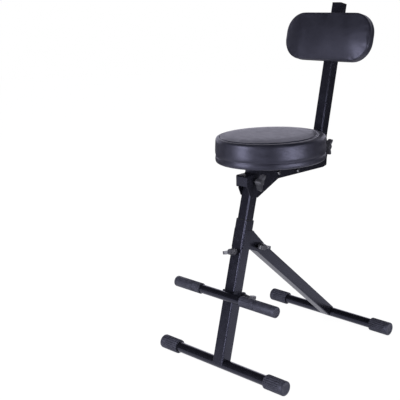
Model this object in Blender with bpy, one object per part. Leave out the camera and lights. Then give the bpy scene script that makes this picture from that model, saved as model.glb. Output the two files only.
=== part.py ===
"""A folding performer's stool: oval seat, backrest and footrest on a leaning column with one folding rear leg.

Metres, +Z up. The sitter faces -Y, so +X is the sitter's left. The origin is on the floor under the middle of the
stool. Places in the side plane are (y, z) pairs measured from the axis of the front foot bar.
"""

import math

import bmesh
import bpy
from mathutils import Vector

# Clearances, cuts and how finely round pieces are stepped
GAP = 0.0003
OVERRUN = 0.0120
BAR_STEPS = 24
BOLT_STEPS = 16
SCREW_STEPS = 12
SEAT_STEPS = 48

# Foot bars and their rubber caps
FOOT_BAR_RADIUS = 0.0150
FOOT_BAR_WALL = 0.0020
FOOT_BAR_LENGTH = 0.4720
FOOT_SPREAD = 0.5238
CAP_RADIUS = 0.0208
CAP_LENGTH = 0.0680
CAP_END_THICKNESS = 0.0040
CAP_EDGE_RADIUS = 0.0030
CAP_RIBS = 20
CAP_FLUTE_DEPTH = 0.0012
CAP_TWIST_SHARE = 0.5
CAP_DIMPLE_RADIUS = 0.0110
CAP_DIMPLE_DEPTH = 0.0008

# Leaning column: outer tube, the bush in its mouth and the inner tube
COLUMN_LEAN = math.radians(15.21)
OUTER_WIDTH = 0.0380
OUTER_WALL = 0.0012
OUTER_CORNER_RADIUS = 0.0035
OUTER_LENGTH = 0.4230
BUSH_DEPTH = 0.0400
BUSH_FLANGE = 0.0015
INNER_WIDTH = 0.0330
INNER_WALL = 0.0015
INNER_CORNER_RADIUS = 0.0030
INNER_LENGTH = 0.3812
INNER_SHOWN = 0.1282

# Bolts, nuts, washers and screws
BOLT_RADIUS = 0.0040
BOLT_HEAD_RADIUS = 0.0070
BOLT_HEAD_HEIGHT = 0.0045
BOLT_HEAD_SHARES = ((1.0, 0.25), (0.90, 0.65), (0.55, 1.0))
NUT_RADIUS = 0.0078
NUT_HEIGHT = 0.0050
NUT_STUB = 0.0012
SCREW_FLAT_SHARE = 0.6
SCREW_RIM_SHARE = 0.4
WASHER_RADIUS = 0.0100
WASHER_THICKNESS = 0.0016

# Wing knobs
KNOB_SPAN = 0.0480
KNOB_HEIGHT = 0.0240
KNOB_THICKNESS = 0.0090
KNOB_EAR_CORNER = 0.0045
KNOB_HUB_RADIUS = 0.0105
KNOB_HUB_TOP_RADIUS = 0.0085
KNOB_HUB_HEIGHT = 0.0190
KNOB_BORE_DEPTH = 0.0130
KNOB_BOLT_REACH = 0.0120
KNOB_STANDOFF = 0.0060
KNOB_EAR_SHARES = ((0.30, 0.10), (0.72, 0.24), (1.0, 0.52), (1.0, 1.0), (0.62, 0.90), (0.22, 0.76))
HEIGHT_KNOB_TURN = math.radians(110)
LEG_KNOB_TURN = math.radians(-15)
FOOTREST_KNOB_TURN = math.radians(11)
SEAT_KNOB_TURN = math.radians(66)
BACK_KNOB_TURN = math.radians(78)

# Height clamp on the front of the outer tube
HEIGHT_CLAMP_BELOW = 0.0945
HEIGHT_NUT_RADIUS = 0.0085
HEIGHT_NUT_LENGTH = 0.0070

# Footrest
FOOTREST_ALONG = 0.2005
FOOTREST_BAR_RADIUS = 0.0130
FOOTREST_BAR_WALL = 0.0018
FOOTREST_LENGTH = 0.3860
GRIP_RADIUS = 0.0159
GRIP_LENGTH_LEFT = 0.1280
GRIP_LENGTH_RIGHT = 0.1030
GRIP_END_THICKNESS = 0.0030
GRIP_EDGE_RADIUS = 0.0020
CLIP_THICKNESS = 0.0026
CLIP_HEIGHT = 0.0300
CLIP_REACH = 0.0350
CLIP_NOSE_RADIUS = 0.0120
CLIP_BOLT_BEHIND = 0.0240

# Rear leg and its bracket, along the column and behind its axis
LEG_WIDTH = 0.0335
LEG_WALL = 0.0015
LEG_CORNER_RADIUS = 0.0030
LEG_HEAD = 0.0225
LEG_END_SETBACK = 0.0050
LEG_PIVOT_BELOW = 0.0715
LEG_PIVOT_BEHIND = 0.0625
BRACKET_THICKNESS = 0.0025
BRACKET_FRONT_SETBACK = 0.0040
BRACKET_BELOW = 0.0275
BRACKET_HEIGHT = 0.0555
BRACKET_NOSE_RADIUS = 0.0180
BRACKET_NOSE_START = math.radians(-76)
BRACKET_EAR_FALL = math.radians(10)
LIP_LENGTH = 0.0180
LIP_THICKNESS = 0.0025

# Support plates on top of the inner tube
SUPPORT_THICKNESS = 0.0015
SUPPORT_GRIP = 0.0597
SUPPORT_NOSE_RADIUS = 0.0175
SUPPORT_NOSE_START = math.radians(-65)
SUPPORT_CHIN_DROP = 0.0270
SUPPORT_FRONT_SETBACK = 0.0035
SUPPORT_FRONT_RISE = 0.0040
SUPPORT_CORNER_RADIUS = 0.0050
SEAT_PIVOT_BEHIND = 0.0895
SEAT_PIVOT_ABOVE = 0.0206
SPACER_RADIUS = 0.0090
SEAT_LOCK_BELOW = 0.0148
SEAT_LOCK_AHEAD = 0.0070

# Seat channel, from the seat's pivot
CHANNEL_THICKNESS = 0.0022
CHANNEL_FRONT_AHEAD = 0.1389
CHANNEL_CHIN_DROP = 0.0225
CHANNEL_SKIRT_DROP = 0.0173
CHANNEL_STEP_RISE = 0.0115
CHANNEL_STEP_LENGTH = 0.0390
CHANNEL_ROOF_BEHIND = 0.1436
CHANNEL_CORNER_RADIUS = 0.0040
TIE_BOLT_BEHIND = 0.0904
TIE_BOLT_DROP = 0.0088

# The channel's tail round the backrest, as shares of its rise and reach from the backrest's pivot
TAIL_RISE = 0.0686
TAIL_REACH = 0.0352
TAIL_SHARES = (
    (0.20, -0.425),
    (0.72, -0.365),
    (0.77, -0.020),
    (0.95, 0.305),
    (0.76, 0.670),
    (0.66, 1.0),
    (-0.034, 0.926),
)
TAIL_SHOULDER_AHEAD = 0.0248

# Seat cushion and its board
SEAT_HALF_WIDTH = 0.1545
SEAT_HALF_DEPTH = 0.1735
SEAT_CENTRE_AHEAD = 0.0095
SEAT_BOTTOM_ABOVE = 0.0392
SEAT_THICKNESS = 0.0725
SEAT_CROWN = 0.0045
SEAT_CROWN_FLATNESS = 6
SEAT_TAPER = 0.0010
SEAT_EDGE_RADIUS = 0.0110
SEAT_EDGE_SHARES = ((0.0, 1.0), (0.13, 0.50), (0.50, 0.13), (1.0, 0.0))
SEAT_SEAM_WIDTH = 0.0030
SEAT_SEAM_DEPTH = 0.0020
SEAT_DRAWN_IN = 0.0022
SEAT_CREASE_RISE = 0.0190
SEAT_CREASE_DEPTH = 0.0020
SEAT_ROLL = 0.0050
SEAT_CROWN_RING_SHARES = (0.95, 0.86, 0.70, 0.42)
SEAT_BOARD_INSET = 0.0120
SEAT_BOARD_THICKNESS = 0.0120
SEAT_SCREW_RADIUS = 0.0022
SEAT_SCREW_HEAD_RADIUS = 0.0045
SEAT_SCREW_HEAD_HEIGHT = 0.0022
SEAT_SCREW_BITE = 0.0090
SEAT_SCREW_SIDE = 0.0085
SEAT_SCREW_SPAN = 0.1500

# Backrest
BACK_LEAN = math.radians(13.3)
BACK_PIVOT_BEHIND = 0.2124
BACK_PIVOT_ABOVE = 0.0096
BACK_LOCK_UP = 0.0385
BACK_SLOT_TURN = math.radians(62)
BACK_POST_WIDTH = 0.0335
BACK_POST_WALL = 0.0015
BACK_POST_CORNER_RADIUS = 0.0030
BACK_POST_BELOW = 0.0200
BACK_POST_ABOVE = 0.4770
PLUG_THICKNESS = 0.0035
PLUG_SLANT = 0.0005
PLUG_DEPTH = 0.0140

# Back pad and its board
PAD_WIDTH = 0.3130
PAD_HEIGHT = 0.1465
PAD_THICKNESS = 0.0300
PAD_CROWN = 0.0030
PAD_CORNER_RADIUS = 0.0630
PAD_CENTRE_UP = 0.3710
PAD_EDGE_RADIUS = 0.0070
PAD_SEAM_WIDTH = 0.0030
PAD_SEAM_DEPTH = 0.0015
PAD_SEAM_SETBACK = 0.0120
PAD_DRAWN_IN = 0.0020
PAD_ROLL = 0.0040
PAD_CROWN_RING_SHARES = (0.10, 0.28, 0.55)
PAD_INSET_LIMIT_SHARE = 0.9
PAD_BOARD_THICKNESS = 0.0090
PAD_BOARD_INSET = 0.0090
PAD_SCREW_PITCH = 0.0700
PAD_SCREW_RADIUS = 0.0028
PAD_SCREW_HEAD_RADIUS = 0.0060
PAD_SCREW_HEAD_HEIGHT = 0.0035
PAD_SCREW_BITE = 0.0065

# Worked out from the sizes above
OUTER_HALF = OUTER_WIDTH / 2
INNER_HALF = INNER_WIDTH / 2
LEG_HALF = LEG_WIDTH / 2
BACK_POST_HALF = BACK_POST_WIDTH / 2
BAR_HALF_LENGTH = FOOT_BAR_LENGTH / 2
BOLT_HOLE = BOLT_RADIUS + GAP
LEAN_SIN, LEAN_COS = math.sin(COLUMN_LEAN), math.cos(COLUMN_LEAN)
INNER_TOP = OUTER_LENGTH + INNER_SHOWN
HEIGHT_CLAMP_ALONG = OUTER_LENGTH - HEIGHT_CLAMP_BELOW
LEG_PIVOT_ALONG = OUTER_LENGTH - LEG_PIVOT_BELOW
BRACKET_TOP = OUTER_LENGTH - BRACKET_BELOW
BRACKET_BOTTOM = BRACKET_TOP - BRACKET_HEIGHT
SUPPORT_INNER_X = INNER_HALF + GAP
SUPPORT_OUTER_X = SUPPORT_INNER_X + SUPPORT_THICKNESS
CHANNEL_INNER_X = SUPPORT_OUTER_X + GAP
CHANNEL_OUTER_X = CHANNEL_INNER_X + CHANNEL_THICKNESS
CHANNEL_TOP = SEAT_BOTTOM_ABOVE - GAP
PAD_BACK = -BACK_POST_HALF - GAP
BACK_TURN = math.pi / 2 - BACK_LEAN


def on_column(behind, along):
    """A place in the side plane from distances along the column and behind its axis."""
    return Vector((along * LEAN_SIN + behind * LEAN_COS, along * LEAN_COS - behind * LEAN_SIN))


ORIGIN = Vector((0, 0))
LEG_PIVOT = on_column(LEG_PIVOT_BEHIND, LEG_PIVOT_ALONG)
LEG_RUN = Vector((FOOT_SPREAD, 0)) - LEG_PIVOT
SEAT_PIVOT = on_column(SEAT_PIVOT_BEHIND, INNER_TOP + SEAT_PIVOT_ABOVE)
SEAT_LOCK = on_column(-SEAT_LOCK_AHEAD, INNER_TOP - SEAT_LOCK_BELOW)
TIE_BOLT = SEAT_PIVOT + Vector((TIE_BOLT_BEHIND, -TIE_BOLT_DROP))
BACK_PIVOT = SEAT_PIVOT + Vector((BACK_PIVOT_BEHIND, BACK_PIVOT_ABOVE))
BACK_LOCK = BACK_PIVOT + BACK_LOCK_UP * Vector((math.cos(BACK_TURN), math.sin(BACK_TURN)))
PLUG_TOP = BACK_POST_ABOVE + GAP + PLUG_THICKNESS + PLUG_SLANT
POST_REACH = BACK_PIVOT.x + PLUG_TOP * math.sin(BACK_LEAN) + BACK_POST_HALF * math.cos(BACK_LEAN)
FRONT_BAR_Y = (CAP_RADIUS - POST_REACH) / 2


def clear_scene():
    for old in list(bpy.data.objects):
        bpy.data.objects.remove(old, do_unlink=True)


def material(name, colour, roughness, metallic=0.0):
    made = bpy.data.materials.new(name)
    made.use_nodes = True
    shader = made.node_tree.nodes["Principled BSDF"]
    shader.inputs["Base Color"].default_value = (*colour, 1.0)
    shader.inputs["Roughness"].default_value = roughness
    shader.inputs["Metallic"].default_value = metallic
    return made


def make_materials():
    return {
        "satin": material("satin_black_steel", (0.030, 0.031, 0.034), 0.42, 0.3),
        "gloss": material("gloss_black_steel", (0.022, 0.023, 0.026), 0.22, 0.3),
        "zinc": material("bright_zinc", (0.62, 0.62, 0.60), 0.30, 1.0),
        "plastic": material("black_plastic", (0.025, 0.025, 0.027), 0.38),
        "rubber": material("black_rubber", (0.020, 0.020, 0.021), 0.65),
        "vinyl": material("black_vinyl", (0.026, 0.029, 0.036), 0.35),
        "wood": material("plywood", (0.035, 0.029, 0.024), 0.70),
    }


def pivot(name, place, carrier=None, turn=0.0):
    """An empty in the side plane. It leans by turn about x, and a carrier of another one stands upright."""
    made = bpy.data.objects.new(name, None)
    bpy.context.scene.collection.objects.link(made)
    if carrier:
        made.parent = carrier
        shift = place - Vector(carrier["place"])
        made.location = (0, shift.x, shift.y)
    else:
        made.location = (0, FRONT_BAR_Y, CAP_RADIUS)
    made.rotation_euler.x = turn
    made["place"] = tuple(place)
    return made


def knob_seat(name, carrier, place, turn):
    """An empty on a carrier whose z axis points out along a knob's bolt."""
    made = bpy.data.objects.new(name, None)
    bpy.context.scene.collection.objects.link(made)
    made.parent = carrier
    made.location = place
    made.rotation_euler = turn
    return made


def finish(name, bm, look, parent):
    """Turns a bmesh drawn in the parent's axes into a named object."""
    bmesh.ops.recalc_face_normals(bm, faces=bm.faces)
    mesh = bpy.data.meshes.new(name)
    bm.to_mesh(mesh)
    bm.free()
    mesh.shade_smooth()
    mesh.set_sharp_from_angle(angle=math.radians(35))
    if look:
        mesh.materials.append(look)
    made = bpy.data.objects.new(name, mesh)
    bpy.context.scene.collection.objects.link(made)
    made.parent = parent
    return made


def combine(target, other, operation):
    """A Boolean on the target. The other shape only guides it and stays out of renders."""
    step = target.modifiers.new(other.name, "BOOLEAN")
    step.operation = operation
    step.solver = "EXACT"
    step.object = other
    other.hide_render = True
    other.display_type = "WIRE"


def skin(name, rings, look, parent, closed=False):
    """Faces between rings of points. A ring of one point is a pole, and a closed skin joins last ring to first."""
    bm = bmesh.new()
    made = [[bm.verts.new(point) for point in ring] for ring in rings]
    pairs = list(zip(made, made[1:]))
    if closed:
        pairs.append((made[-1], made[0]))
    for low, high in pairs:
        count = max(len(low), len(high))
        if count == 1:
            continue
        for i in range(count):
            j = (i + 1) % count
            corners = (low[i % len(low)], low[j % len(low)], high[j % len(high)], high[i % len(high)])
            bm.faces.new(dict.fromkeys(corners))
    if not closed:
        for ring in (made[0], made[-1]):
            if len(ring) > 1:
                bm.faces.new(ring)
    return finish(name, bm, look, parent)


def round_ring(radius, height, axis, centre, steps, twist=0):
    """One ring of points round an axis, twisted by a share of a step, or its pole where the radius is zero."""
    ring = []
    for step in range(steps if radius else 1):
        turn = 2 * math.pi * (step + twist) / steps
        a, b = radius * math.cos(turn), radius * math.sin(turn)
        place = {"x": (height, a, b), "y": (b, height, a), "z": (a, b, height)}[axis]
        ring.append(Vector(place) + Vector(centre))
    return ring


def turned(name, profile, look, parent, axis="x", centre=(0, 0, 0), steps=BAR_STEPS, closed=False):
    """A profile of (radius, height) pairs turned round an axis."""
    rings = [round_ring(radius, height, axis, centre, steps) for radius, height in profile]
    return skin(name, rings, look, parent, closed)


def rod(name, radius, low, high, look, parent, axis="x", centre=(0, 0, 0), steps=BOLT_STEPS):
    return turned(name, [(radius, low), (radius, high)], look, parent, axis, centre, steps)


def collar(name, radius, bore, low, high, look, parent, axis="x", centre=(0, 0, 0), steps=BOLT_STEPS):
    """A ring, washer or open round tube."""
    profile = [(radius, low), (radius, high), (bore, high), (bore, low)]
    return turned(name, profile, look, parent, axis, centre, steps, closed=True)


def arc(centre, radius, start, end, steps):
    """Points on an arc in a plane."""
    turns = [start + (end - start) * step / steps for step in range(steps + 1)]
    return [Vector(centre) + radius * Vector((math.cos(turn), math.sin(turn))) for turn in turns]


def rounded(points, radius, steps=4):
    """An outline with its corners rounded, as far as its sides allow."""
    result = []
    count = len(points)
    for index, point in enumerate(points):
        corner = Vector(point)
        before = Vector(points[index - 1]) - corner
        after = Vector(points[(index + 1) % count]) - corner
        half = before.angle(after) / 2
        reach = min(radius / math.tan(half), before.length / 2, after.length / 2)
        fillet = reach * math.tan(half)
        centre = corner + (before.normalized() + after.normalized()).normalized() * (fillet / math.sin(half))
        first = corner + before.normalized() * reach - centre
        last = corner + after.normalized() * reach - centre
        start = math.atan2(first.y, first.x)
        swing = -first.angle_signed(last)
        result += arc(centre, fillet, start, start + swing, steps)
    return result


def arc_slot(centre, radius, start, end, half_width):
    """A curved slot, round at its start and square at its end, which runs past an edge."""
    steps = 8
    sense = 1 if end > start else -1
    head = Vector(centre) + radius * Vector((math.cos(start), math.sin(start)))
    outer = arc(centre, radius + half_width, start, end, steps)
    inner = arc(centre, radius - half_width, end, start, steps)
    cap = arc(head, half_width, start + math.pi, start + math.pi + sense * math.pi, steps)
    return outer + inner + cap[1:-1]


def prism(name, outline, low, high, look, parent, axis="x"):
    """An outline drawn in (y, z) and extruded along x, or drawn in (x, y) and extruded along z."""
    if axis == "x":
        rings = [[(level, a, b) for a, b in outline] for level in (low, high)]
    else:
        rings = [[(a, b, level) for a, b in outline] for level in (low, high)]
    return skin(name, rings, look, parent)


def rectangle(left, right, bottom, top):
    return [(left, bottom), (right, bottom), (right, top), (left, top)]


def square(half, radius):
    return rounded(rectangle(-half, half, -half, half), radius)


def square_stack(name, profile, look, parent, closed=False):
    """Rounded squares stacked along z, from (half width, corner radius, height) triples."""
    rings = [[(p.x, p.y, height) for p in square(half, radius)] for half, radius, height in profile]
    return skin(name, rings, look, parent, closed)


def square_tube(name, half, wall, corner, low, high, look, parent):
    inner = (half - wall, corner - wall)
    profile = [(half, corner, low), (half, corner, high), (*inner, high), (*inner, low)]
    return square_stack(name, profile, look, parent, closed=True)


def drill(target, centre, radius, low, high, parent, axis="x", steps=BOLT_STEPS):
    """A round hole in the target from low to high along an axis."""
    tool = rod(f"{target.name}_drill_{len(target.modifiers)}", radius, low, high, None, parent, axis, centre, steps)
    combine(target, tool, "DIFFERENCE")


def cross_drill(target, places, reach, parent):
    """Bolt holes right through the target along x at places in the side plane."""
    for place in places:
        drill(target, (0, *place), BOLT_HOLE, -reach - OVERRUN, reach + OVERRUN, parent)


def weld(target, outlines, parent):
    """Plates joined to the target, each an outline in the side plane with its low and high x."""
    for outline, low, high in outlines:
        plate = prism(f"{target.name}_plate_{len(target.modifiers)}", outline, low, high, None, parent)
        combine(target, plate, "UNION")


def bolt(name, reach, look, parent, place, side=1, stub=NUT_HEIGHT + NUT_STUB):
    """A domed bolt along x. Its head lies outside one face at reach, and a stub stands past the other."""
    seat_level = side * (reach + GAP)
    tip = -side * (reach + stub)
    profile = [(0, tip), (BOLT_RADIUS, tip), (BOLT_RADIUS, seat_level), (BOLT_HEAD_RADIUS, seat_level)]
    for width_share, height_share in BOLT_HEAD_SHARES:
        height = side * (reach + GAP + BOLT_HEAD_HEIGHT * height_share)
        profile.append((BOLT_HEAD_RADIUS * width_share, height))
    profile.append((0, profile[-1][1]))
    return turned(name, profile, look, parent, centre=(0, *place), steps=BOLT_STEPS)


def nut(name, near, look, parent, place, side):
    """A hexagonal nut round x, lying from near outwards."""
    hexagon = []
    far = near + NUT_HEIGHT
    for height in (near, far):
        ring = round_ring(NUT_RADIUS, side * height, "x", (0, *place), SCREW_STEPS)
        middle = Vector((side * height, *place))
        flats = [middle.lerp(p, math.cos(math.pi / 6) if i % 2 else 1) for i, p in enumerate(ring)]
        hexagon.append(flats)
    bore = [round_ring(BOLT_HOLE, side * height, "x", (0, *place), SCREW_STEPS) for height in (far, near)]
    return skin(name, hexagon + bore, look, parent, closed=True)


def screw(name, length, radius, head_radius, head_height, look, parent, axis, centre, sense):
    """A screw whose head's seat is at centre, its shank running along the axis in the given sense."""
    profile = [
        (0, -sense * head_height),
        (head_radius * SCREW_FLAT_SHARE, -sense * head_height),
        (head_radius, -sense * head_height * SCREW_RIM_SHARE),
        (head_radius, 0),
        (radius, 0),
        (radius, sense * length),
        (0, sense * length),
    ]
    return turned(name, profile, look, parent, axis, centre, SCREW_STEPS)


def wing_knob(name, look, seat, turn):
    """A wing knob on its seat, bored blind for the bolt's end."""
    half = [(x * KNOB_SPAN / 2, z * KNOB_HEIGHT) for x, z in KNOB_EAR_SHARES]
    outline = rounded(half + [(-x, z) for x, z in reversed(half)], KNOB_EAR_CORNER, 2)
    knob = prism(name, outline, -KNOB_THICKNESS / 2, KNOB_THICKNESS / 2, look, seat)
    knob.rotation_euler.z = turn
    hub_profile = [(0, 0), (KNOB_HUB_RADIUS, 0), (KNOB_HUB_TOP_RADIUS, KNOB_HUB_HEIGHT), (0, KNOB_HUB_HEIGHT)]
    hub = turned(name + "_hub", hub_profile, None, knob, "z", steps=BOLT_STEPS)
    combine(knob, hub, "UNION")
    drill(knob, (0, 0, 0), BOLT_HOLE, -OVERRUN, KNOB_BORE_DEPTH, knob, "z")
    return knob


def side_knob(name, looks, carrier, reach, place, turn):
    """A wing knob on the sitter's left, on the end of a bolt that runs along x."""
    seat = knob_seat(name + "_axis", carrier, (reach + GAP, *place), (0, math.pi / 2, 0))
    return wing_knob(name, looks["plastic"], seat, turn)


def foot_cap(name, side, look, parent):
    """A ribbed rubber cap with a blind bore, a rounded rim and a round recess in its end. It stands on a rib."""
    end = BAR_HALF_LENGTH + GAP + CAP_END_THICKNESS
    mouth = end - CAP_LENGTH
    floor = BAR_HALF_LENGTH + GAP
    bore = FOOT_BAR_RADIUS + GAP
    steps = CAP_RIBS * 3
    crest = CAP_RADIUS / math.cos(math.pi / steps)
    ribbed = [(crest, mouth + CAP_EDGE_RADIUS), (crest, end - CAP_EDGE_RADIUS)]
    profile = [
        (bore, mouth),
        (CAP_RADIUS - CAP_EDGE_RADIUS, mouth),
        *ribbed,
        (CAP_RADIUS - CAP_EDGE_RADIUS, end),
        (CAP_DIMPLE_RADIUS, end),
        (CAP_DIMPLE_RADIUS, end - CAP_DIMPLE_DEPTH),
        (0, end - CAP_DIMPLE_DEPTH),
        (0, floor),
        (bore, floor),
    ]
    rings = []
    for radius, height in profile:
        ring = round_ring(radius, side * height, "x", (0, 0, 0), steps, CAP_TWIST_SHARE)
        if (radius, height) in ribbed:
            axis = Vector((side * height, 0, 0))
            ring = [axis.lerp(p, 1 - CAP_FLUTE_DEPTH / radius if i % 3 == 1 else 1) for i, p in enumerate(ring)]
        rings.append(ring)
    return skin(name, rings, look, parent, closed=True)


def foot_bar(prefix, looks, parent):
    """A round foot bar along x with a rubber cap on each end."""
    collar(
        prefix + "_foot_bar", FOOT_BAR_RADIUS, FOOT_BAR_RADIUS - FOOT_BAR_WALL, -BAR_HALF_LENGTH, BAR_HALF_LENGTH,
        looks["gloss"], parent, steps=BAR_STEPS)
    for side, word in ((1, "left"), (-1, "right")):
        foot_cap(f"{prefix}_foot_cap_{word}", side, looks["rubber"], parent)


def column(looks, tilt):
    """The outer tube, which straddles the front foot bar, with its bush and the boss for the height screw."""
    tube = square_tube(
        "outer_tube", OUTER_HALF, OUTER_WALL, OUTER_CORNER_RADIUS, 0, OUTER_LENGTH, looks["satin"], tilt)
    drill(tube, (0, 0, 0), FOOT_BAR_RADIUS + GAP, -OUTER_WIDTH, OUTER_WIDTH, tilt, steps=BAR_STEPS)
    clamp = (0, 0, HEIGHT_CLAMP_ALONG)
    drill(tube, clamp, BOLT_HOLE, -OUTER_WIDTH, 0, tilt, "y")
    sleeve_half = OUTER_HALF - OUTER_WALL - GAP
    sleeve = (sleeve_half, OUTER_CORNER_RADIUS - OUTER_WALL)
    flange = (OUTER_HALF, OUTER_CORNER_RADIUS)
    bore = (INNER_HALF + GAP, INNER_CORNER_RADIUS)
    seat = OUTER_LENGTH + GAP
    low = OUTER_LENGTH - BUSH_DEPTH
    profile = [(*sleeve, low), (*sleeve, seat), (*flange, seat), (*flange, seat + BUSH_FLANGE)]
    profile += [(*bore, seat + BUSH_FLANGE), (*bore, low)]
    square_stack("tube_bush", profile, looks["plastic"], tilt, closed=True)
    near = -OUTER_HALF - GAP
    far = near - HEIGHT_NUT_LENGTH
    collar("height_nut", HEIGHT_NUT_RADIUS, BOLT_HOLE, far, near, looks["satin"], tilt, "y", clamp)


def height_clamp(looks, tilt):
    """The wing screw that presses on the inner tube through the column's front wall."""
    reach = OUTER_HALF + HEIGHT_NUT_LENGTH + 2 * GAP
    seat = knob_seat("height_knob_axis", tilt, (0, -reach, HEIGHT_CLAMP_ALONG), (math.pi / 2, 0, 0))
    wing_knob("height_knob", looks["plastic"], seat, HEIGHT_KNOB_TURN)
    tip = INNER_HALF + GAP - reach
    rod("height_screw", BOLT_RADIUS, tip, KNOB_BOLT_REACH, looks["zinc"], seat, "z")


def leg_bracket(looks, tilt):
    """Plates beside the column, a web behind it, and two ears with a sloping lip under the leg's head."""
    inner_x = OUTER_HALF + GAP
    outer_x = inner_x + BRACKET_THICKNESS
    ear_x = LEG_HALF + GAP
    front = BRACKET_FRONT_SETBACK - OUTER_HALF
    inside = rectangle(-inner_x, inner_x, front, inner_x)
    outside = rectangle(-outer_x, outer_x, front, outer_x)
    outline = [outside[0], inside[0], inside[3], inside[2], inside[1], outside[1], outside[2], outside[3]]
    bracket = prism("leg_bracket", outline, BRACKET_BOTTOM, BRACKET_TOP, looks["satin"], tilt, "z")
    root = (inner_x + outer_x) / 2
    centre = Vector((LEG_PIVOT_BEHIND, LEG_PIVOT_ALONG))
    slope = math.atan2(BRACKET_TOP - centre.y, centre.x - root) + BRACKET_EAR_FALL
    nose = arc(centre, BRACKET_NOSE_RADIUS, BRACKET_NOSE_START, math.pi / 2 - slope, 8)
    ear = [Vector((root, BRACKET_BOTTOM)), *nose, Vector((root, BRACKET_TOP))]
    plates = [(ear, *sorted((side * ear_x, side * (ear_x + BRACKET_THICKNESS)))) for side in (1, -1)]
    leg = on_leg_from_column()
    below = centre + leg["down"] * (LEG_HALF + GAP)
    start = below - leg["along"] * ((below.x - root) / leg["along"].x)
    end = start + leg["along"] * LIP_LENGTH
    drop = leg["down"] * LIP_THICKNESS
    lip_x = ear_x + BRACKET_THICKNESS / 2
    plates.append(([start, end, end + drop, start + drop], -lip_x, lip_x))
    weld(bracket, plates, tilt)
    cross_drill(bracket, [centre], outer_x, tilt)
    return ear_x + BRACKET_THICKNESS


def on_leg_from_column():
    """The open leg's direction and its underside's, in the column's (behind, along) axes."""
    run = LEG_RUN.normalized()
    along = Vector((run.x * LEAN_COS - run.y * LEAN_SIN, run.x * LEAN_SIN + run.y * LEAN_COS))
    return {"along": along, "down": Vector((along.y, -along.x))}


def rear_leg(looks, stool):
    """The rear leg on its pivot, straddling the rear foot bar."""
    joint = pivot("leg_joint", LEG_PIVOT, stool)
    axis = pivot("leg_axis", LEG_PIVOT, joint, math.pi + math.atan2(LEG_RUN.x, -LEG_RUN.y))
    length = LEG_RUN.length
    tube = square_tube(
        "rear_leg_tube", LEG_HALF, LEG_WALL, LEG_CORNER_RADIUS, -LEG_HEAD, length - LEG_END_SETBACK, looks["satin"],
        axis)
    drill(tube, (0, 0, length), FOOT_BAR_RADIUS + GAP, -LEG_WIDTH, LEG_WIDTH, axis, steps=BAR_STEPS)
    cross_drill(tube, [ORIGIN], LEG_HALF, axis)
    foot_bar("rear", looks, pivot("rear_bar_axis", Vector((FOOT_SPREAD, 0)), joint))


def leg_fasteners(looks, stool, reach):
    joint = pivot("leg_pivot_axis", LEG_PIVOT, stool)
    bolt("leg_pivot_bolt", reach, looks["zinc"], joint, ORIGIN, -1, KNOB_BOLT_REACH)
    side_knob("leg_knob", looks, joint, reach, ORIGIN, LEG_KNOB_TURN)


def footrest(looks, tilt):
    """The clip round the column, its clamp bolt behind it, and the bar in front with a grip on each end."""
    inner_x = OUTER_HALF + GAP
    outer_x = inner_x + CLIP_THICKNESS
    bottom, top = FOOTREST_ALONG - CLIP_HEIGHT / 2, FOOTREST_ALONG + CLIP_HEIGHT / 2
    web = rectangle(-outer_x, -inner_x, bottom, top)
    web_x = outer_x - CLIP_THICKNESS / 2
    clip = prism("footrest_clip", web, -web_x, web_x, looks["satin"], tilt)
    steps = 4
    corners = rounded(rectangle(CLIP_REACH - CLIP_HEIGHT, CLIP_REACH, bottom, top), CLIP_NOSE_RADIUS, steps)
    rear_corners = corners[steps + 1:3 * (steps + 1)]
    arm = [Vector((-outer_x, bottom)), *rear_corners, Vector((-outer_x, top))]
    weld(clip, [(arm, *sorted((side * inner_x, side * outer_x))) for side in (1, -1)], tilt)
    place = (CLIP_BOLT_BEHIND, FOOTREST_ALONG)
    cross_drill(clip, [place], outer_x, tilt)
    bolt("footrest_bolt", outer_x, looks["zinc"], tilt, place, -1, KNOB_STANDOFF + KNOB_BOLT_REACH)
    side_knob("footrest_knob", looks, tilt, outer_x + KNOB_STANDOFF, place, FOOTREST_KNOB_TURN)
    axis = (0, -outer_x - GAP - FOOTREST_BAR_RADIUS, FOOTREST_ALONG)
    bar_end = FOOTREST_LENGTH / 2 - GRIP_END_THICKNESS - GAP
    collar(
        "footrest_bar", FOOTREST_BAR_RADIUS, FOOTREST_BAR_RADIUS - FOOTREST_BAR_WALL, -bar_end, bar_end,
        looks["gloss"], tilt, centre=axis, steps=BAR_STEPS)
    for side, word, length in ((1, "left", GRIP_LENGTH_LEFT), (-1, "right", GRIP_LENGTH_RIGHT)):
        footrest_grip(f"footrest_grip_{word}", side, length, looks["rubber"], tilt, axis)


def footrest_grip(name, side, length, look, parent, axis):
    """A rubber sleeve with a closed end."""
    end = FOOTREST_LENGTH / 2
    mouth = end - length
    floor = end - GRIP_END_THICKNESS
    bore = FOOTREST_BAR_RADIUS + GAP
    profile = [
        (bore, mouth),
        (GRIP_RADIUS, mouth),
        (GRIP_RADIUS, end - GRIP_EDGE_RADIUS),
        (GRIP_RADIUS - GRIP_EDGE_RADIUS, end),
        (0, end),
        (0, floor),
        (bore, floor),
    ]
    turned(name, [(radius, side * x) for radius, x in profile], look, parent, centre=axis, closed=True)


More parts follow.
